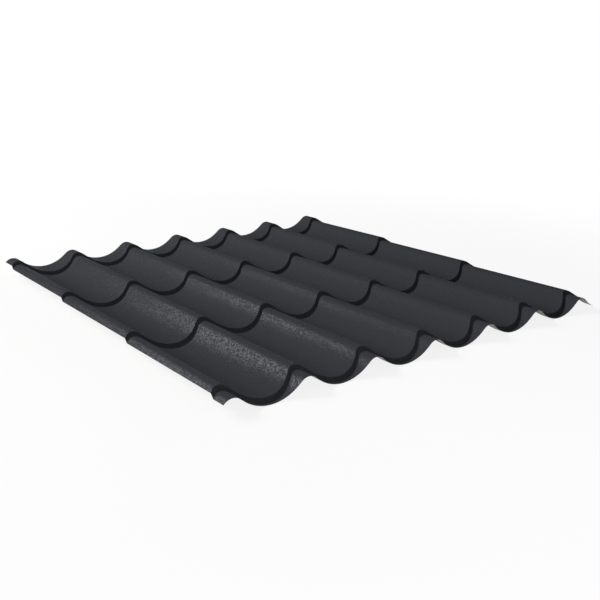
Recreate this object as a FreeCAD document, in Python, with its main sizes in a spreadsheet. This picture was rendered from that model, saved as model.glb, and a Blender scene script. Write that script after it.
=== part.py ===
import FreeCAD, Part
import Sketcher
import math
import os

# Tile effect roofing sheet: one coated steel sheet, rolled into waves across its width
# and pressed into steps along its length, so that it looks like courses of tiles.
#
# X runs across the waves, Y runs up the roof from the eaves end to the ridge end.
# The sheet lies as on a level floor, with the origin at the bottom centre of its box.
# All lengths are millimetres and all angles are degrees.

SHEET_NAME = "tile_sheet"

# Tile columns and rows that the sheet covers once it is lapped by its neighbours.
WAVES = 6
COURSES = 3

DIMENSIONS = {
    # Wave section: a crest arc, a short straight flank and a wide trough arc.
    "pitch": 175.0,
    "wave_depth": 35.5,
    "crest_radius": 26.0,
    "flank_length": 12.0,
    # Tile course: each one falls back to a flat pressed step that leans by step_angle.
    "module_length": 350.0,
    "step_drop": 9.0,
    "step_angle": 45.0,
    # Steel left past the outer crests, and past the first and last step.
    "left_lap": 20.0,
    "right_lap": 55.0,
    "ridge_lap": 42.5,
    "eaves_lap": 42.0,
    "steel_thickness": 0.5,
}


def fill_spreadsheet(doc):
    """Write each driving dimension into its own cell, named by its alias."""
    sheet = doc.addObject("Spreadsheet::Sheet", "Sizes")
    for row, (alias, value) in enumerate(DIMENSIONS.items(), start=1):
        cell = f"A{row}"
        sheet.set(cell, str(value))
        sheet.setAlias(cell, alias)
    doc.recompute()
    return sheet


# Sizes that follow from the driving dimensions, as expressions on the spreadsheet.
STEP_RUN = "(Sizes.step_drop / tan(Sizes.step_angle))"
COURSE_SLOPE = f"(Sizes.step_drop / (Sizes.module_length - {STEP_RUN}))"
SHEET_WIDTH = f"({WAVES} * Sizes.pitch + Sizes.left_lap + Sizes.right_lap)"
SHEET_LENGTH = (
    f"({COURSES} * Sizes.module_length + {STEP_RUN} + Sizes.ridge_lap + Sizes.eaves_lap)"
)
FIRST_CREST_X = f"(Sizes.left_lap - {SHEET_WIDTH} / 2)"
FIRST_STEP_Y = f"({SHEET_LENGTH} / 2 - Sizes.ridge_lap)"

COURSE_TILT = f"(atan({COURSE_SLOPE}))"

# The underside of each trough is lowest where it meets the back of the step behind it.
# FOOT_RUN is how far that point lies in front of the crest at the top of the step.
STEP_BACK = "(Sizes.steel_thickness / cos(Sizes.step_angle))"
WAVE_FALL = f"((Sizes.wave_depth + Sizes.steel_thickness) / cos({COURSE_TILT}))"
FOOT_RUN = (
    f"((Sizes.step_drop + {WAVE_FALL} - {STEP_BACK} + {STEP_RUN} * {COURSE_SLOPE})"
    f" / (tan(Sizes.step_angle) + {COURSE_SLOPE}))"
)
CREST_HEIGHT = f"({FOOT_RUN} * tan(Sizes.step_angle) + {STEP_BACK})"

# How far the forming blocks reach past each step, enough for the whole leaning face.
REACH = "(4 * (Sizes.wave_depth + Sizes.step_drop) * (1 + 1 / tan(Sizes.step_angle)))"

# How far down each forming block goes, in wave depths. The inner one goes right through
# the outer one, so that only the steel between their tops is left.
OUTER_BLOCK_DEPTH = 2
INNER_BLOCK_DEPTH = 3


def wave_section():
    """Work out where the arcs and flanks of one half wave meet, for the sketch to start from."""
    half_pitch = DIMENSIONS["pitch"] / 2
    depth = DIMENSIONS["wave_depth"]
    flank = DIMENSIONS["flank_length"]
    both_radii = (half_pitch ** 2 + depth ** 2 - flank ** 2) / (2 * depth)
    flank_angle = math.atan2(both_radii, flank) - math.atan2(both_radii - depth, half_pitch)
    return both_radii - DIMENSIONS["crest_radius"], flank_angle


def draw_wave(doc, name, skin, block_depth):
    """Draw the end of a block with a waved top, which lies `skin` inside the outer skin.

    The sketch stands square to the slope of a course, with its origin on the first crest
    of the outer skin. The wave starts and ends in the middle of a trough, half a pitch
    outside the outer crests.
    """
    sketch = doc.addObject("Sketcher::SketchObject", name)
    sketch.Placement = FreeCAD.Placement(
        FreeCAD.Vector(0, 0, 0), FreeCAD.Rotation(FreeCAD.Vector(1, 0, 0), 90)
    )
    sketch.setExpression("Placement.Rotation.Angle", f"90 deg - {COURSE_TILT}")
    pitch = DIMENSIONS["pitch"]
    depth = DIMENSIONS["wave_depth"]
    outer_trough_radius, angle = wave_section()
    crest_radius = DIMENSIONS["crest_radius"] - skin
    trough_radius = outer_trough_radius + skin
    crest_y = -DIMENSIONS["crest_radius"]
    trough_y = outer_trough_radius - depth
    up = math.pi / 2

    def arc(centre_x, centre_y, radius, start, end):
        circle = Part.Circle(
            FreeCAD.Vector(centre_x, centre_y, 0), FreeCAD.Vector(0, 0, 1), radius
        )
        return sketch.addGeometry(Part.ArcOfCircle(circle, start, end), False)

    def line(start, end):
        return sketch.addGeometry(Part.LineSegment(start, end), False)

    def arc_end(centre_x, centre_y, radius, direction):
        return FreeCAD.Vector(
            centre_x + radius * math.cos(direction), centre_y + radius * math.sin(direction), 0
        )

    # The arcs, from left to right. A trough arc runs anticlockwise from left to right,
    # and a crest arc from right to left.
    troughs = []
    crests = []
    for index in range(WAVES + 2):
        centre_x = (index - 0.5) * pitch
        start = -up if index == 0 else -up - angle
        end = -up if index == WAVES + 1 else -up + angle
        troughs.append(arc(centre_x, trough_y, trough_radius, start, end))
    for index in range(WAVES + 1):
        crests.append(arc(index * pitch, crest_y, crest_radius, up - angle, up + angle))

    # The straight flanks: up to each crest and down from it.
    constraints = []
    rising = []
    falling = []
    for index in range(WAVES + 1):
        crest_x = index * pitch
        left_x = crest_x - pitch / 2
        right_x = crest_x + pitch / 2
        left_foot = arc_end(left_x, trough_y, trough_radius, -up + angle)
        left_top = arc_end(crest_x, crest_y, crest_radius, up + angle)
        right_top = arc_end(crest_x, crest_y, crest_radius, up - angle)
        right_foot = arc_end(right_x, trough_y, trough_radius, -up - angle)
        rising.append(line(left_foot, left_top))
        falling.append(line(right_top, right_foot))
    for index in range(WAVES + 1):
        crest = crests[index]
        constraints += [
            Sketcher.Constraint("Tangent", troughs[index], 2, rising[index], 1),
            Sketcher.Constraint("Tangent", rising[index], 2, crest, 2),
            Sketcher.Constraint("Tangent", crest, 1, falling[index], 1),
            Sketcher.Constraint("Tangent", falling[index], 2, troughs[index + 1], 1),
        ]

    # The block under the wave.
    wave_start = FreeCAD.Vector(-pitch / 2, -depth - skin, 0)
    wave_end = FreeCAD.Vector((WAVES + 0.5) * pitch, -depth - skin, 0)
    block_start = FreeCAD.Vector(wave_start.x, -block_depth * depth, 0)
    block_end = FreeCAD.Vector(wave_end.x, -block_depth * depth, 0)
    left = line(wave_start, block_start)
    bottom = line(block_start, block_end)
    right = line(block_end, wave_end)
    constraints += [
        Sketcher.Constraint("Coincident", left, 1, troughs[0], 1),
        Sketcher.Constraint("Coincident", left, 2, bottom, 1),
        Sketcher.Constraint("Coincident", bottom, 2, right, 1),
        Sketcher.Constraint("Coincident", right, 2, troughs[-1], 2),
        Sketcher.Constraint("Vertical", left),
        Sketcher.Constraint("Vertical", right),
        Sketcher.Constraint("Horizontal", bottom),
        Sketcher.Constraint("Vertical", troughs[0], 1, troughs[0], 3),
        Sketcher.Constraint("Vertical", troughs[-1], 2, troughs[-1], 3),
    ]
    for same in crests[1:]:
        constraints.append(Sketcher.Constraint("Equal", crests[0], same))
    for same in troughs[1:]:
        constraints.append(Sketcher.Constraint("Equal", troughs[0], same))
    for same in crests[1:]:
        constraints.append(Sketcher.Constraint("Horizontal", crests[0], 3, same, 3))
    for same in troughs[1:]:
        constraints.append(Sketcher.Constraint("Horizontal", troughs[0], 3, same, 3))
    sketch.addConstraint(constraints)

    def bind(kind, places, value, label, expression):
        index = sketch.addConstraint(Sketcher.Constraint(kind, *places, value))
        sketch.renameConstraint(index, label)
        sketch.setExpression(f"Constraints.{label}", expression)

    origin = (-1, 1)
    bind("Radius", (crests[0],), crest_radius, "crest_radius",
         f"Sizes.crest_radius - {skin_cell(skin)}")
    bind("Distance", (rising[0],), DIMENSIONS["flank_length"], "flank_length",
         "Sizes.flank_length")
    bind("DistanceY", (crests[0], 3, *origin), -crest_y, "crest_centre", "Sizes.crest_radius")
    bind("DistanceY", (troughs[0], 1, *origin), depth + skin, "trough_bottom",
         f"Sizes.wave_depth + {skin_cell(skin)}")
    bind("DistanceY", (bottom, 1, *origin), block_depth * depth, "block_bottom",
         f"{block_depth} * Sizes.wave_depth")
    for index, crest in enumerate(crests):
        if index == 0:
            sketch.addConstraint(Sketcher.Constraint("Vertical", crest, 3, *origin))
        else:
            bind("DistanceX", (*origin, crest, 3), index * pitch, f"crest_{index}",
                 f"{index} * Sizes.pitch")
    for index, trough in enumerate(troughs):
        if index == 0:
            bind("DistanceX", (trough, 3, *origin), pitch / 2, f"trough_{index}",
                 "Sizes.pitch / 2")
        else:
            bind("DistanceX", (*origin, trough, 3), (index - 0.5) * pitch, f"trough_{index}",
                 f"{index - 0.5} * Sizes.pitch")
    return sketch


def skin_cell(skin):
    """The spreadsheet value for a skin: the steel's thickness, or nothing on the outside."""
    return "Sizes.steel_thickness" if skin else "0"


def bind_place(item, x="0", y="0", z="0"):
    """Tie an object's position to the spreadsheet."""
    item.setExpression("Placement.Base.x", x)
    item.setExpression("Placement.Base.y", y)
    item.setExpression("Placement.Base.z", z)


def draw_press_face(doc, name, skin, step_y):
    """Place a box whose low face is one leaning step, so that cutting it away forms the step.

    The face reaches past the sheet on every side: a pitch to the left and right, and
    `half_face` up and down its slope from the crest at the top of the step.
    """
    box = doc.addObject("Part::Box", name)
    inset = skin_cell(skin)
    half_face = f"2 * {REACH}"
    box.Placement = FreeCAD.Placement(
        FreeCAD.Vector(0, 0, 0),
        FreeCAD.Rotation(FreeCAD.Vector(1, 0, 0), DIMENSIONS["step_angle"]),
    )
    box.setExpression("Placement.Rotation.Angle", "Sizes.step_angle")
    box.setExpression("Length", f"{SHEET_WIDTH} + 2 * Sizes.pitch")
    box.setExpression("Width", f"2 * {half_face}")
    box.setExpression("Height", f"2 * {half_face}")
    bind_place(
        box,
        f"-{SHEET_WIDTH} / 2 - Sizes.pitch",
        f"{step_y} - {half_face} * cos(Sizes.step_angle) + {inset} * sin(Sizes.step_angle)",
        f"{CREST_HEIGHT} - {half_face} * sin(Sizes.step_angle)"
        f" - {inset} * cos(Sizes.step_angle)",
    )
    return box


def form_courses(doc, name, skin, block_depth):
    """Fuse one waved block for each course, each cut off at the front by its own step."""
    wave = draw_wave(doc, f"{name}_wave", skin, block_depth)
    blocks = []
    for course in range(COURSES + 2):
        step_y = f"({FIRST_STEP_Y} - {course} * Sizes.module_length)"
        block = doc.addObject("Part::Extrusion", f"{name}_course_{course}")
        block.Base = wave
        block.DirMode = "Normal"
        block.Solid = True
        block.setExpression("LengthFwd", REACH)
        block.setExpression("LengthRev", f"Sizes.module_length + {REACH}")
        bind_place(block, FIRST_CREST_X, step_y, CREST_HEIGHT)
        if course <= COURSES:
            face = draw_press_face(doc, f"{name}_step_{course}", skin, step_y)
            cut = doc.addObject("Part::Cut", f"{name}_stepped_{course}")
            cut.Base = block
            cut.Tool = face
            block = cut
        blocks.append(block)
    fused = doc.addObject("Part::MultiFuse", name)
    fused.Shapes = blocks
    fused.Refine = True
    return fused


def cut_blank(doc):
    """The box that trims the formed steel to the sheet's four cut edges."""
    blank = doc.addObject("Part::Box", "cut_edges")
    blank.setExpression("Length", SHEET_WIDTH)
    blank.setExpression("Width", SHEET_LENGTH)
    blank.setExpression("Height", f"3 * {CREST_HEIGHT}")
    bind_place(
        blank, f"-{SHEET_WIDTH} / 2", f"-{SHEET_LENGTH} / 2", f"-{CREST_HEIGHT}"
    )
    return blank


def build_sheet(doc):
    """Leave one thickness of steel between the outer and inner skins, then trim its edges."""
    outer = form_courses(doc, "outer_skin", 0, OUTER_BLOCK_DEPTH)
    inner = form_courses(
        doc, "inner_skin", DIMENSIONS["steel_thickness"], INNER_BLOCK_DEPTH
    )
    formed = doc.addObject("Part::Cut", "formed_steel")
    formed.Base = outer
    formed.Tool = inner
    sheet = doc.addObject("Part::MultiCommon", SHEET_NAME)
    sheet.Shapes = [formed, cut_blank(doc)]
    sheet.Refine = True
    sheet.Label = SHEET_NAME
    return sheet


def check(doc, parts):
    """Stop on any failed object or unusable solid."""
    for item in doc.Objects:
        for state in item.State:
            if state in ("Invalid", "Error"):
                raise RuntimeError(f"{item.Name} is {state}")
    for part in parts:
        if part.Shape.isNull() or not part.Shape.isValid():
            raise RuntimeError(f"{part.Label} has no valid shape")
        if len(part.Shape.Solids) != 1:
            raise RuntimeError(f"{part.Label} has {len(part.Shape.Solids)} solids")


def main():
    doc = FreeCAD.newDocument("roofing_sheet")
    fill_spreadsheet(doc)
    sheet = build_sheet(doc)
    doc.recompute()
    check(doc, [sheet])
    os.makedirs("parts", exist_ok=True)
    sheet.Shape.exportStep(f"parts/{sheet.Label}.step")
    box = sheet.Shape.optimalBoundingBox(False)
    print(f"{sheet.Label}: {box.XLength:.2f} x {box.YLength:.2f} x {box.ZLength:.2f} mm,")
    print(f"lowest point {box.ZMin:.3f}, volume {sheet.Shape.Volume:.0f} mm3,")
    print(f"{len(sheet.Shape.Faces)} faces")


main()
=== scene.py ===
import math

import bmesh
import bpy
import numpy as np
from mathutils import Euler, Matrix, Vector


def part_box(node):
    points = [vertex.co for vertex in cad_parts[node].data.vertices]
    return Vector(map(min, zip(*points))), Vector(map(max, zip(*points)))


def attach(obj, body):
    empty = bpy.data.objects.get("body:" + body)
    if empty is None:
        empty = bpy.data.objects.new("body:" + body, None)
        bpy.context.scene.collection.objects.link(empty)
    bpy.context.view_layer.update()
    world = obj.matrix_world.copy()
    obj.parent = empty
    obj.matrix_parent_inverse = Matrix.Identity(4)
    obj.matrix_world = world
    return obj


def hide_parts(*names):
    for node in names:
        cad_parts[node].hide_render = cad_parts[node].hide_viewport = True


bl_info = {
    "name": "Tile effect roofing sheet",
    "version": (1, 0, 0),
    "blender": (4, 5, 0),
    "location": "3D View > Sidebar > Roofing",
    "description": "Makes a pressed steel roofing sheet with its coats and its plain studio",
    "category": "Object",
}

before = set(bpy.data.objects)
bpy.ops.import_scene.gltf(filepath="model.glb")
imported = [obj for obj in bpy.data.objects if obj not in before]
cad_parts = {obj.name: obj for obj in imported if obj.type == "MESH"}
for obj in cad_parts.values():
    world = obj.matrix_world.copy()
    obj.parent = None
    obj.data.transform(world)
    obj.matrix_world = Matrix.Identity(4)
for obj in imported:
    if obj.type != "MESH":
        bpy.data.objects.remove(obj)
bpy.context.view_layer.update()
CAD_LOW, CAD_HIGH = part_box("tile_sheet")

MM = 0.001
SHEET_NAME = "pressed_tile_sheet"

# How many rows or columns of points each stretch of the sheet gets.
CREST_STEPS = 8
FLANK_STEPS = 2
TROUGH_STEPS = 12
BEND_STEPS = 4
COURSE_STEPS = 12
STEP_FACE_STEPS = 2
LAP_STEPS = 4
SHARP_FOLD = math.radians(50)

# Sockets of the Mix node when it mixes colours, which share their names with others.
MIX_A = 6
MIX_B = 7
MIX_RESULT = 2


def linear_colour(hex_code):
    """Turn an sRGB hex colour such as "#3A3B3F" into linear red, green, blue and alpha."""
    digits = hex_code.lstrip("#")
    linear = []
    for place in (0, 2, 4):
        value = int(digits[place:place + 2], 16) / 255
        linear.append(value / 12.92 if value <= 0.04045 else ((value + 0.055) / 1.055) ** 2.4)
    return (*linear, 1.0)


# Dim surroundings of the set, for the ceiling's paint and the light from outside it.
DIM_GREY = linear_colour("#3A3A3A")
WHITE = linear_colour("#FFFFFF")


class RoofSheetSizes(bpy.types.PropertyGroup):
    """Real sizes of the pressed sheet. Its outer box comes from the frame."""

    waves: bpy.props.IntProperty(
        name="Waves", description="Tile columns that the sheet covers", default=6, min=1,
    )
    courses: bpy.props.IntProperty(
        name="Courses", description="Tile rows between the first step and the last",
        default=3, min=1,
    )
    pitch: bpy.props.FloatProperty(
        name="Pitch", description="Distance from crest to crest",
        default=175 * MM, unit="LENGTH",
    )
    wave_depth: bpy.props.FloatProperty(
        name="Wave depth", description="Height of a crest over a trough",
        default=35.5 * MM, unit="LENGTH",
    )
    crest_radius: bpy.props.FloatProperty(
        name="Crest radius", description="Radius of the rounded crest",
        default=26 * MM, unit="LENGTH",
    )
    flank_length: bpy.props.FloatProperty(
        name="Flank length", description="Straight part between the crest and trough arcs",
        default=12 * MM, unit="LENGTH",
    )
    module_length: bpy.props.FloatProperty(
        name="Module length", description="Distance from step to step",
        default=350 * MM, unit="LENGTH",
    )
    step_drop: bpy.props.FloatProperty(
        name="Step drop", description="Height of each pressed step",
        default=9 * MM, unit="LENGTH",
    )
    step_angle: bpy.props.FloatProperty(
        name="Step angle", description="Lean of each pressed step from the level",
        default=math.radians(45), subtype="ANGLE",
    )
    bend_radius: bpy.props.FloatProperty(
        name="Bend radius", description="Rounding that the press leaves at a step's edges",
        default=1.6 * MM, unit="LENGTH",
    )
    left_lap: bpy.props.FloatProperty(
        name="Left lap", description="Steel outside the first crest",
        default=20 * MM, unit="LENGTH",
    )
    ridge_lap: bpy.props.FloatProperty(
        name="Ridge lap", description="Steel behind the first step",
        default=42.5 * MM, unit="LENGTH",
    )
    steel_thickness: bpy.props.FloatProperty(
        name="Steel thickness", description="Thickness of the coated steel",
        default=0.5 * MM, unit="LENGTH",
    )


class RoofSheetFinish(bpy.types.PropertyGroup):
    """Colours and grain of the sheet's coats."""

    topcoat: bpy.props.FloatVectorProperty(
        name="Topcoat", description="Colour of the matt topcoat",
        subtype="COLOR", size=4, min=0, max=1, default=linear_colour("#3A3B3F"),
    )
    backing: bpy.props.FloatVectorProperty(
        name="Backing coat", description="Colour of the thin coat on the underside",
        subtype="COLOR", size=4, min=0, max=1, default=linear_colour("#A7A39B"),
    )
    sheared_edge: bpy.props.FloatVectorProperty(
        name="Sheared edge", description="Colour of the edge where the sheet is cut",
        subtype="COLOR", size=4, min=0, max=1, default=linear_colour("#2A2B2E"),
    )
    grain_width: bpy.props.FloatProperty(
        name="Grain width", description="Width of the topcoat's wrinkles as they are drawn",
        default=5 * MM, unit="LENGTH",
    )
    grain_depth: bpy.props.FloatProperty(
        name="Grain depth", description="Depth of the topcoat's wrinkles as they are drawn",
        default=0.4 * MM, unit="LENGTH",
    )


class RoofSheetStage(bpy.types.PropertyGroup):
    """The camera and the floor."""

    floor: bpy.props.FloatVectorProperty(
        name="Floor", description="Colour of the plain pale floor",
        subtype="COLOR", size=4, min=0, max=1, default=linear_colour("#EEEEEC"),
    )
    camera_turn: bpy.props.FloatProperty(
        name="Camera turn", description="How far the view turns from straight up the roof",
        default=math.radians(37.64), subtype="ANGLE",
    )
    camera_dip: bpy.props.FloatProperty(
        name="Camera dip", description="How far the camera looks down",
        default=math.radians(17.79), subtype="ANGLE",
    )
    camera_roll: bpy.props.FloatProperty(
        name="Camera roll", description="Roll of the camera about its own view",
        default=math.radians(0.99), subtype="ANGLE",
    )
    camera_distance: bpy.props.FloatProperty(
        name="Camera distance", description="Distance from the camera to its aim",
        default=2.2614, unit="LENGTH",
    )
    camera_aim: bpy.props.FloatVectorProperty(
        name="Camera aim", description="Point that the middle of the picture looks at",
        default=(0.02695, -0.02688, -0.02618), size=3, subtype="TRANSLATION",
    )


def wave_arcs(sizes):
    """Trough radius and flank angle that join the two arcs to the flank without a kink,
    and how far out from the crest the flank starts and ends."""
    half_pitch = sizes.pitch / 2
    both_radii = (
        half_pitch ** 2 + sizes.wave_depth ** 2 - sizes.flank_length ** 2
    ) / (2 * sizes.wave_depth)
    flank_angle = (
        math.atan2(both_radii, sizes.flank_length)
        - math.atan2(both_radii - sizes.wave_depth, half_pitch)
    )
    trough_radius = both_radii - sizes.crest_radius
    crest_end = sizes.crest_radius * math.sin(flank_angle)
    trough_start = half_pitch - trough_radius * math.sin(flank_angle)
    return trough_radius, flank_angle, crest_end, trough_start


def wave_columns(sizes):
    """Every x with a column of points, closest together where the steel bends most."""
    trough_radius, flank_angle, crest_end, trough_start = wave_arcs(sizes)
    crest_turns = flank_angle * np.arange(CREST_STEPS) / CREST_STEPS
    trough_turns = flank_angle * (1 - np.arange(TROUGH_STEPS + 1) / TROUGH_STEPS)
    half_wave = np.concatenate([
        sizes.crest_radius * np.sin(crest_turns),
        np.linspace(crest_end, trough_start, FLANK_STEPS, endpoint=False),
        sizes.pitch / 2 - trough_radius * np.sin(trough_turns),
    ])
    whole_wave = np.concatenate([half_wave, sizes.pitch - half_wave[1:-1][::-1]])
    first_crest = CAD_LOW[0] + sizes.left_lap
    starts = first_crest + sizes.pitch * np.arange(-1, sizes.waves + 1)
    inside = (starts[:, None] + whole_wave).ravel()
    closest = 0.3 * MM
    inside = inside[(inside > CAD_LOW[0] + closest) & (inside < CAD_HIGH[0] - closest)]
    return np.concatenate([[CAD_LOW[0]], inside, [CAD_HIGH[0]]])


def wave_height(sizes, x):
    """Height of the wave at x over its crest line: zero on a crest, negative elsewhere."""
    trough_radius, flank_angle, crest_end, trough_start = wave_arcs(sizes)
    half_pitch = sizes.pitch / 2
    first_crest = CAD_LOW[0] + sizes.left_lap
    away = np.abs((x - first_crest + half_pitch) % sizes.pitch - half_pitch)
    crest = np.sqrt(np.maximum(sizes.crest_radius ** 2 - away ** 2, 0)) - sizes.crest_radius
    flank = (
        -sizes.crest_radius * (1 - math.cos(flank_angle))
        - (away - crest_end) * math.tan(flank_angle)
    )
    trough = (
        trough_radius - sizes.wave_depth
        - np.sqrt(np.maximum(trough_radius ** 2 - (half_pitch - away) ** 2, 0))
    )
    return np.where(away < crest_end, crest, np.where(away < trough_start, flank, trough))


def straight_rows(start, end, steps):
    """Rows from start up to, but not including, end, closer together near both."""
    share = (1 - np.cos(math.pi * np.arange(steps) / steps)) / 2
    return start + (end - start) * share[:, None, None]


def bend_rows(before, corner, after, radius):
    """Rows of an arc that rounds the corner between two straight stretches."""
    arriving = corner - before
    leaving = after - corner
    arriving /= np.linalg.norm(arriving, axis=1, keepdims=True)
    leaving /= np.linalg.norm(leaving, axis=1, keepdims=True)
    turn = np.arccos((arriving * leaving).sum(axis=1, keepdims=True))
    inward = (leaving - arriving * np.cos(turn)) / np.sin(turn)
    start = corner - arriving * radius * np.tan(turn / 2)
    turns = turn * (np.arange(BEND_STEPS + 1) / BEND_STEPS)[:, None, None]
    return start + radius * (arriving * np.sin(turns) + inward * (1 - np.cos(turns)))


def top_skin(sizes):
    """Grid of points over the top of the sheet, with rows from the ridge to the eaves.

    Each column is a line down the roof. It crosses the courses in straight runs, and the
    steps in the plane that the press leans over by step_angle, so each step is a flat band
    with a wavy edge above and below it.
    """
    x = wave_columns(sizes)
    lean = sizes.step_angle
    step_run = sizes.step_drop / math.tan(lean)
    tilt = math.atan2(sizes.step_drop, sizes.module_length - step_run)
    up_step = np.array([math.cos(lean), math.sin(lean)])
    along_course = np.array([-math.cos(tilt), math.sin(tilt)])
    step_face = up_step * sizes.step_drop / math.sin(lean)
    lowered = (wave_height(sizes, x) / math.sin(lean + tilt))[:, None] * up_step

    corners = []
    for step in range(sizes.courses + 1):
        y = CAD_HIGH[1] - sizes.ridge_lap - step * sizes.module_length
        upper_edge = np.array([y, CAD_HIGH[2]]) + lowered
        corners += [upper_edge, upper_edge - step_face]
    to_ridge = (CAD_HIGH[1] - corners[0][:, :1]) / math.cos(tilt)
    to_eaves = (corners[-1][:, :1] - CAD_LOW[1]) / math.cos(tilt)
    ridge = corners[0] - along_course * to_ridge
    eaves = corners[-1] + along_course * to_eaves
    path = [ridge, *corners, eaves]
    bends = [
        bend_rows(before, corner, after, sizes.bend_radius)
        for before, corner, after in zip(path, path[1:], path[2:])
    ]

    starts = [ridge, *(bend[-1] for bend in bends)]
    ends = [*(bend[0] for bend in bends), eaves]
    counts = [LAP_STEPS, *[STEP_FACE_STEPS, COURSE_STEPS] * sizes.courses]
    counts += [STEP_FACE_STEPS, LAP_STEPS]
    rows = []
    for index, count in enumerate(counts):
        rows.append(straight_rows(starts[index], ends[index], count))
        rows.append(bends[index][:-1] if index < len(bends) else eaves[None])
    yz = np.concatenate(rows)
    across = np.broadcast_to(x[:, None], (*yz.shape[:2], 1))
    return np.concatenate([across, yz], axis=2)


def underside_skin(sizes, top):
    """The top's points moved through the steel, with the four cut edges kept upright.

    The CAD mesh cuts its arcs a little short, so the lowest troughs are held to its floor.
    """
    normals = np.cross(np.gradient(top, axis=1), np.gradient(top, axis=0))
    normals /= np.linalg.norm(normals, axis=2, keepdims=True)
    normals *= np.sign(normals[..., 2:])
    under = top - normals * sizes.steel_thickness
    under[..., 2] = np.maximum(under[..., 2], CAD_LOW[2])
    under[:, [0, -1], 0] = top[:, [0, -1], 0]
    under[[0, -1], :, 1] = top[[0, -1], :, 1]
    return under


def skin_faces(indices):
    """Four-sided faces over a grid of point indices."""
    corners = [indices[:-1, :-1], indices[1:, :-1], indices[1:, 1:], indices[:-1, 1:]]
    return np.stack(corners, axis=-1).reshape(-1, 4)


def outline_loop(indices):
    """The indices round the outside of a grid, in order."""
    return np.concatenate([
        indices[:-1, 0], indices[-1, :-1], indices[:0:-1, -1], indices[0, :0:-1]
    ])


def sheet_mesh(sizes):
    """Closed mesh of the sheet. Its faces carry the topcoat, the backing or the cut edge."""
    top = top_skin(sizes)
    under = underside_skin(sizes, top)
    top_indices = np.arange(top[..., 0].size).reshape(top.shape[:2])
    under_indices = top_indices + top_indices.size
    top_faces = skin_faces(top_indices)
    under_faces = skin_faces(under_indices)[:, ::-1]
    top_loop = outline_loop(top_indices)
    under_loop = outline_loop(under_indices)
    edge_faces = np.stack(
        [np.roll(top_loop, -1), top_loop, under_loop, np.roll(under_loop, -1)], axis=-1
    )
    faces = np.concatenate([top_faces, under_faces, edge_faces])
    coats = np.repeat([0, 1, 2], [len(top_faces), len(under_faces), len(edge_faces)])

    mesh = bpy.data.meshes.new(SHEET_NAME)
    points = np.concatenate([top.reshape(-1, 3), under.reshape(-1, 3)])
    mesh.from_pydata(points.tolist(), [], faces.tolist())
    mesh.polygons.foreach_set("material_index", coats.astype(np.int32))
    mesh.shade_smooth()
    mesh.set_sharp_from_angle(angle=SHARP_FOLD)
    mesh.update()
    return mesh


def add_node(tree, kind, settings=None, values=None, links=None):
    """Add a shader node, set its properties and sockets, and link outputs into it."""
    node = tree.nodes.new(kind)
    for name, value in (settings or {}).items():
        setattr(node, name, value)
    for socket, value in (values or {}).items():
        node.inputs[socket].default_value = value
    for socket, output in (links or {}).items():
        tree.links.new(output, node.inputs[socket])
    return node


def empty_material(name):
    """A material with no nodes yet."""
    material = bpy.data.materials.new(name)
    material.use_nodes = True
    material.node_tree.nodes.clear()
    return material


def toned(colour, share):
    """The colour made lighter by a share of itself, or darker when the share is negative."""
    return (*(channel * (1 + share) for channel in colour[:3]), 1.0)


def textured_polyester_topcoat(finish):
    """Coil-coated polyester with a fine wrinkle, the matt weather side of the sheet.

    Its pigment looks flat and dark from everywhere. Only the wrinkled skin over it shines,
    in small specks where a lamp meets the right slope. Real wrinkles are about 0.4 mm wide,
    too fine to show from here, so they are drawn about 5 mm wide.
    """
    material = empty_material("textured_polyester_topcoat")
    tree = material.node_tree
    place = add_node(tree, "ShaderNodeTexCoord").outputs["Object"]
    wrinkle = add_node(
        tree, "ShaderNodeTexNoise",
        values={"Scale": 1 / finish.grain_width, "Detail": 3.0, "Roughness": 0.6},
        links={"Vector": place},
    ).outputs["Fac"]
    roughness = add_node(
        tree, "ShaderNodeMapRange",
        values={"From Min": 0.3, "From Max": 0.7, "To Min": 0.22, "To Max": 0.32},
        links={"Value": wrinkle},
    ).outputs["Result"]
    shine = add_node(
        tree, "ShaderNodeMapRange",
        values={"From Min": 0.42, "From Max": 0.62, "To Min": 0.02, "To Max": 0.25},
        links={"Value": wrinkle},
    ).outputs["Result"]
    relief = add_node(
        tree, "ShaderNodeBump", values={"Distance": finish.grain_depth},
        links={"Height": wrinkle},
    ).outputs["Normal"]
    shader = add_node(
        tree, "ShaderNodeBsdfPrincipled",
        values={
            "Base Color": finish.topcoat, "Roughness": 0.8, "Specular IOR Level": 0.0
        },
        links={"Coat Weight": shine, "Coat Roughness": roughness, "Coat Normal": relief},
    )
    add_node(
        tree, "ShaderNodeOutputMaterial", links={"Surface": shader.outputs["BSDF"]}
    )
    return material


def rolled_backing_coat(finish):
    """Thin polyester backing coat, rolled on at the mill, grey-beige and plain.

    The roller leaves a faint mottle a few centimetres across and a soft, even sheen.
    """
    material = empty_material("rolled_backing_coat")
    tree = material.node_tree
    place = add_node(tree, "ShaderNodeTexCoord").outputs["Object"]
    mottle = add_node(
        tree, "ShaderNodeTexNoise",
        values={"Scale": 1 / (25 * MM), "Detail": 2.0},
        links={"Vector": place},
    ).outputs["Fac"]
    colour = add_node(
        tree, "ShaderNodeMix", {"data_type": "RGBA"},
        {MIX_A: toned(finish.backing, -0.05), MIX_B: toned(finish.backing, 0.05)},
        {"Factor": mottle},
    ).outputs[MIX_RESULT]
    roughness = add_node(
        tree, "ShaderNodeMapRange",
        values={"From Min": 0.3, "From Max": 0.7, "To Min": 0.45, "To Max": 0.55},
        links={"Value": mottle},
    ).outputs["Result"]
    shader = add_node(
        tree, "ShaderNodeBsdfPrincipled",
        values={"IOR": 1.5},
        links={"Base Color": colour, "Roughness": roughness},
    )
    add_node(
        tree, "ShaderNodeOutputMaterial", links={"Surface": shader.outputs["BSDF"]}
    )
    return material


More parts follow.
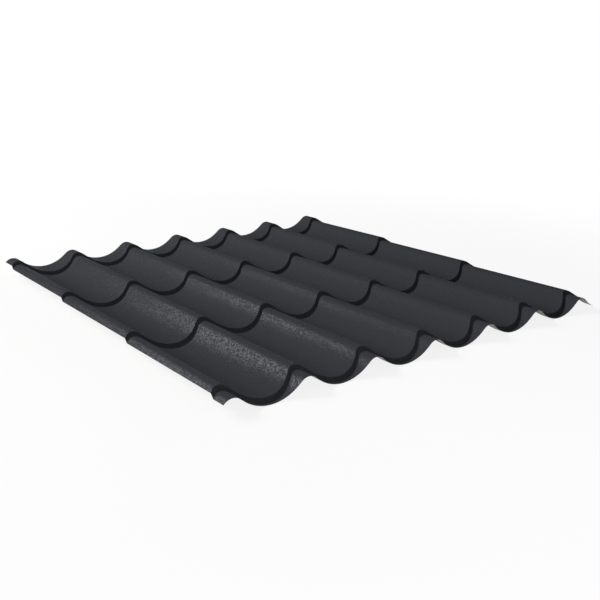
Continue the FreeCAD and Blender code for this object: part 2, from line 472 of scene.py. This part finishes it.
def sheared_coated_steel(finish):
    """Guillotined edge of the sheet.

    It is dull and a little darker than the coat, so the sheet's outline reads as a thin
    dark line. The shear leaves fine upright scratches, drawn about 2 mm apart.
    """
    material = empty_material("sheared_coated_steel")
    tree = material.node_tree
    place = add_node(tree, "ShaderNodeTexCoord").outputs["Object"]
    scratches = add_node(
        tree, "ShaderNodeTexNoise",
        values={"Scale": 1 / (2 * MM), "Detail": 1.0},
        links={"Vector": place},
    ).outputs["Fac"]
    colour = add_node(
        tree, "ShaderNodeMix", {"data_type": "RGBA"},
        {MIX_A: toned(finish.sheared_edge, -0.3), MIX_B: toned(finish.sheared_edge, 0.3)},
        {"Factor": scratches},
    ).outputs[MIX_RESULT]
    shader = add_node(
        tree, "ShaderNodeBsdfPrincipled",
        values={"Roughness": 0.6, "IOR": 1.5, "Specular IOR Level": 0.3},
        links={"Base Color": colour},
    )
    add_node(
        tree, "ShaderNodeOutputMaterial", links={"Surface": shader.outputs["BSDF"]}
    )
    return material


def seen_ray(tree):
    """One for a ray that shows the background: straight, in a gloss or through glass."""
    ray = add_node(tree, "ShaderNodeLightPath")
    straight_or_gloss = add_node(
        tree, "ShaderNodeMath", {"operation": "MAXIMUM"},
        links={0: ray.outputs["Is Camera Ray"], 1: ray.outputs["Is Glossy Ray"]},
    )
    return add_node(
        tree, "ShaderNodeMath", {"operation": "MAXIMUM"},
        links={0: straight_or_gloss.outputs[0], 1: ray.outputs["Is Transmission Ray"]},
    ).outputs[0]


def painted_studio_floor(colour):
    """Smooth matt floor paint. It shows its light and shadow round the sheet, under an
    even white that takes over further out and runs into the background."""
    material = empty_material("painted_studio_floor")
    tree = material.node_tree
    paint = add_node(tree, "ShaderNodeBsdfDiffuse", values={"Color": colour})
    white = add_node(tree, "ShaderNodeEmission", values={"Strength": 1.0})
    place = add_node(tree, "ShaderNodeTexCoord").outputs["Object"]
    distance = add_node(
        tree, "ShaderNodeVectorMath", {"operation": "LENGTH"}, links={0: place}
    ).outputs["Value"]
    white_share = add_node(
        tree, "ShaderNodeMapRange", {"interpolation_type": "SMOOTHSTEP"},
        {"From Min": 0.7, "From Max": 1.8, "To Min": 0.85, "To Max": 1.0},
        {"Value": distance},
    ).outputs["Result"]
    seen_white = add_node(
        tree, "ShaderNodeMath", {"operation": "MULTIPLY"},
        links={0: white_share, 1: seen_ray(tree)},
    )
    surface = add_node(
        tree, "ShaderNodeMixShader",
        links={
            "Fac": seen_white.outputs[0], 1: paint.outputs["BSDF"],
            2: white.outputs["Emission"],
        },
    )
    add_node(
        tree, "ShaderNodeOutputMaterial", links={"Surface": surface.outputs["Shader"]}
    )
    return material


def plain_matt_paint(name, colour):
    """Even matt paint for the stage."""
    material = empty_material(name)
    tree = material.node_tree
    paint = add_node(tree, "ShaderNodeBsdfDiffuse", values={"Color": colour})
    add_node(tree, "ShaderNodeOutputMaterial", links={"Surface": paint.outputs["BSDF"]})
    return material


def clear_object(name):
    """Remove what an earlier press of the same button made."""
    earlier = bpy.data.objects.get(name)
    if earlier is not None:
        bpy.data.objects.remove(earlier)


def add_object(name, data):
    """Link a new object with this data to the scene."""
    clear_object(name)
    made = bpy.data.objects.new(name, data)
    bpy.context.scene.collection.objects.link(made)
    return made


# Each lamp's turn from straight up the roof and its height over the floor in degrees, its
# distance from the sheet's middle and its width in metres, and its watts. Most of the light
# comes from behind and low, which leaves the steps' faces dark.
SOFTBOXES = (
    ("key_softbox", -45, 36, 12.0, 3.4, 1070),
    ("fill_softbox", -30, 38, 3.5, 0.9, 33),
    ("near_softbox", -25, 37, 1.5, 0.4, 2.4),
    ("left_softbox", -110, 26, 1.4, 0.4, 1.6),
    ("front_softbox", -170, 32, 1.4, 0.4, 2.2),
    ("right_softbox", 80, 12, 9.0, 2.4, 350),
)


def add_softbox(name, turn, rise, distance, width, power):
    """Add a soft square lamp that faces the middle of the sheet."""
    lamp = bpy.data.lights.new(name, "AREA")
    lamp.shape = "SQUARE"
    lamp.size = width
    lamp.energy = power
    turn = math.radians(turn)
    rise = math.radians(rise)
    towards = Vector((
        math.sin(turn) * math.cos(rise), math.cos(turn) * math.cos(rise), math.sin(rise)
    ))
    softbox = add_object(name, lamp)
    softbox.location = towards * distance
    softbox.rotation_euler = towards.to_track_quat("Z", "Y").to_euler()


def add_camera(stage):
    """Camera at the photograph's angle."""
    camera = add_object("camera", bpy.data.cameras.new("camera"))
    camera.data.lens = 50
    camera.data.sensor_width = 36
    turned = Euler((math.radians(90) - stage.camera_dip, 0, -stage.camera_turn)).to_matrix()
    rolled = turned @ Euler((0, 0, stage.camera_roll)).to_matrix()
    camera.rotation_euler = rolled.to_euler()
    camera.location = (
        Vector(stage.camera_aim) + rolled @ Vector((0, 0, stage.camera_distance))
    )
    bpy.context.scene.camera = camera


def add_floor(stage):
    """Wide level floor under the sheet."""
    edge = 30
    corners = [(-edge, -edge, 0), (edge, -edge, 0), (edge, edge, 0), (-edge, edge, 0)]
    mesh = bpy.data.meshes.new("floor")
    mesh.from_pydata(corners, [], [(0, 1, 2, 3)])
    mesh.materials.append(painted_studio_floor(stage.floor))
    add_object("floor", mesh)


def add_ceiling():
    """Dark domed ceiling over the set, which keeps glare off the sheet's level parts.

    The camera sees the white background through it.
    """
    radius = 25
    open_under = math.radians(3)
    lowest = radius * math.sin(open_under)
    dome = bmesh.new()
    bmesh.ops.create_uvsphere(dome, u_segments=48, v_segments=60, radius=radius)
    low_points = [point for point in dome.verts if point.co.z < lowest]
    bmesh.ops.delete(dome, geom=low_points, context="VERTS")
    mesh = bpy.data.meshes.new("ceiling")
    dome.to_mesh(mesh)
    dome.free()
    mesh.materials.append(plain_matt_paint("dark_ceiling_paint", DIM_GREY))
    ceiling = add_object("ceiling", mesh)
    ceiling.visible_camera = False


def set_world():
    """White background, and a low even light from it."""
    world = bpy.data.worlds.new("studio")
    bpy.context.scene.world = world
    world.use_nodes = True
    tree = world.node_tree
    tree.nodes.clear()
    colour = add_node(
        tree, "ShaderNodeMix", {"data_type": "RGBA"},
        {MIX_A: DIM_GREY, MIX_B: WHITE},
        {"Factor": seen_ray(tree)},
    )
    background = add_node(
        tree, "ShaderNodeBackground", values={"Strength": 1.0},
        links={"Color": colour.outputs[MIX_RESULT]},
    )
    add_node(
        tree, "ShaderNodeOutputWorld", links={"Surface": background.outputs["Background"]}
    )


class ROOFING_OT_tile_sheet(bpy.types.Operator):
    """Make the pressed tile sheet with its topcoat, backing coat and cut edges"""

    bl_idname = "roofing.tile_sheet"
    bl_label = "Pressed tile sheet"

    def execute(self, context):
        finish = context.scene.roof_sheet_finish
        mesh = sheet_mesh(context.scene.roof_sheet_sizes)
        mesh.materials.append(textured_polyester_topcoat(finish))
        mesh.materials.append(rolled_backing_coat(finish))
        mesh.materials.append(sheared_coated_steel(finish))
        sheet = add_object(SHEET_NAME, mesh)
        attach(sheet, "root")
        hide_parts("tile_sheet")
        return {"FINISHED"}


class ROOFING_OT_stage(bpy.types.Operator):
    """Set the floor, the background, the lamps and the camera"""

    bl_idname = "roofing.stage"
    bl_label = "Plain studio"

    def execute(self, context):
        context.scene.view_settings.view_transform = "Standard"
        stage = context.scene.roof_sheet_stage
        add_floor(stage)
        add_ceiling()
        set_world()
        for softbox in SOFTBOXES:
            add_softbox(*softbox)
        add_camera(stage)
        return {"FINISHED"}


class ROOFING_PT_sheet(bpy.types.Panel):
    """Sizes, coats and studio of the roofing sheet"""

    bl_idname = "ROOFING_PT_sheet"
    bl_label = "Tile effect sheet"
    bl_space_type = "VIEW_3D"
    bl_region_type = "UI"
    bl_category = "Roofing"

    def draw(self, context):
        layout = self.layout
        for title, group, operator in PANEL_SECTIONS:
            box = layout.box()
            box.label(text=title)
            settings = getattr(context.scene, group)
            for name in settings.bl_rna.properties.keys():
                if name not in ("rna_type", "name"):
                    box.prop(settings, name)
            if operator:
                box.operator(operator)


PANEL_SECTIONS = (
    ("Sizes", "roof_sheet_sizes", None),
    ("Coats", "roof_sheet_finish", ROOFING_OT_tile_sheet.bl_idname),
    ("Studio", "roof_sheet_stage", ROOFING_OT_stage.bl_idname),
)
SETTING_GROUPS = {
    "roof_sheet_sizes": RoofSheetSizes,
    "roof_sheet_finish": RoofSheetFinish,
    "roof_sheet_stage": RoofSheetStage,
}
CLASSES = (
    *SETTING_GROUPS.values(), ROOFING_OT_tile_sheet, ROOFING_OT_stage, ROOFING_PT_sheet,
)


def register():
    for item in CLASSES:
        bpy.utils.register_class(item)
    for name, group in SETTING_GROUPS.items():
        setattr(bpy.types.Scene, name, bpy.props.PointerProperty(type=group))


def unregister():
    for name in SETTING_GROUPS:
        delattr(bpy.types.Scene, name)
    for item in reversed(CLASSES):
        bpy.utils.unregister_class(item)


def main():
    register()
    bpy.ops.roofing.tile_sheet()
    bpy.ops.roofing.stage()


if __name__ == "__main__":
    main()
